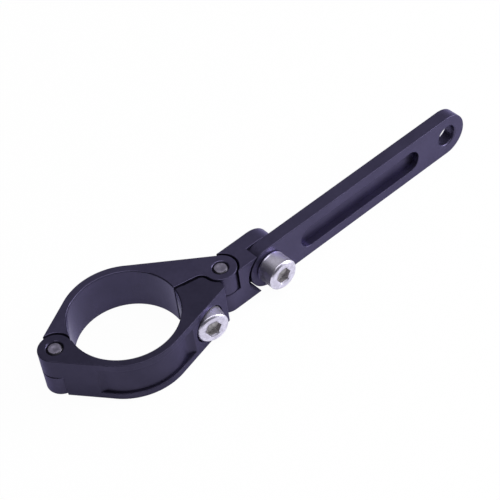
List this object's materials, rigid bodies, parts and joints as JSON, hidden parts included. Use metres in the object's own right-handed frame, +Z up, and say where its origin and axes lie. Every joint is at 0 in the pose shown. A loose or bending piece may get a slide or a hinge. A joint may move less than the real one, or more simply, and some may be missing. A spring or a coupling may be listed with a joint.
{
  "type": "headlight mounting bracket",
  "caption": "Hinged clamp ring for a fork tube with a swivelling knuckle block and a long slotted arm that carries one side of a headlight.",
  "frame": {"origin": "centre of the fork bore, midway between the ring's bottom and top faces", "axes": "+Z up along the bore, +X towards the knuckle pin, +Y towards the half of the ring that carries the knuckle and the arm"},
  "size_m": [0.2004, 0.0509, 0.019],
  "materials": {
    "anodised_aluminium": "black anodised, satin, with a faint violet cast",
    "pin_steel": "ground pin steel",
    "screw_steel": "bright stainless steel, turned"
  },
  "bodies": {
    "clamp": {"clamp_carrier_half": "anodised_aluminium", "hinge_pin": "pin_steel", "knuckle_pin": "pin_steel"},
    "cap": {"clamp_cap_half": "anodised_aluminium", "clamp_screw": "screw_steel"},
    "block": {"knuckle_block": "anodised_aluminium", "pivot_screw": "screw_steel"},
    "arm": {"arm": "anodised_aluminium"}
  },
  "joints": [
    {"name": "clamp_close", "type": "hinge", "parent": "clamp", "child": "cap", "pos_m": [-0.0285, 0, 0], "axis": [0, 0, 1], "range_deg": [0, 0.85]},
    {"name": "knuckle_swivel", "type": "hinge", "parent": "clamp", "child": "block", "pos_m": [0.041, 0, 0], "axis": [0, 0, 1], "range_deg": [-50, 13]},
    {"name": "arm_tilt", "type": "hinge", "parent": "block", "child": "arm", "pos_m": [0.05949, 0.00393, 0], "axis": [0.2079, -0.9781, 0], "range_deg": [-60, 60]}
  ]
}
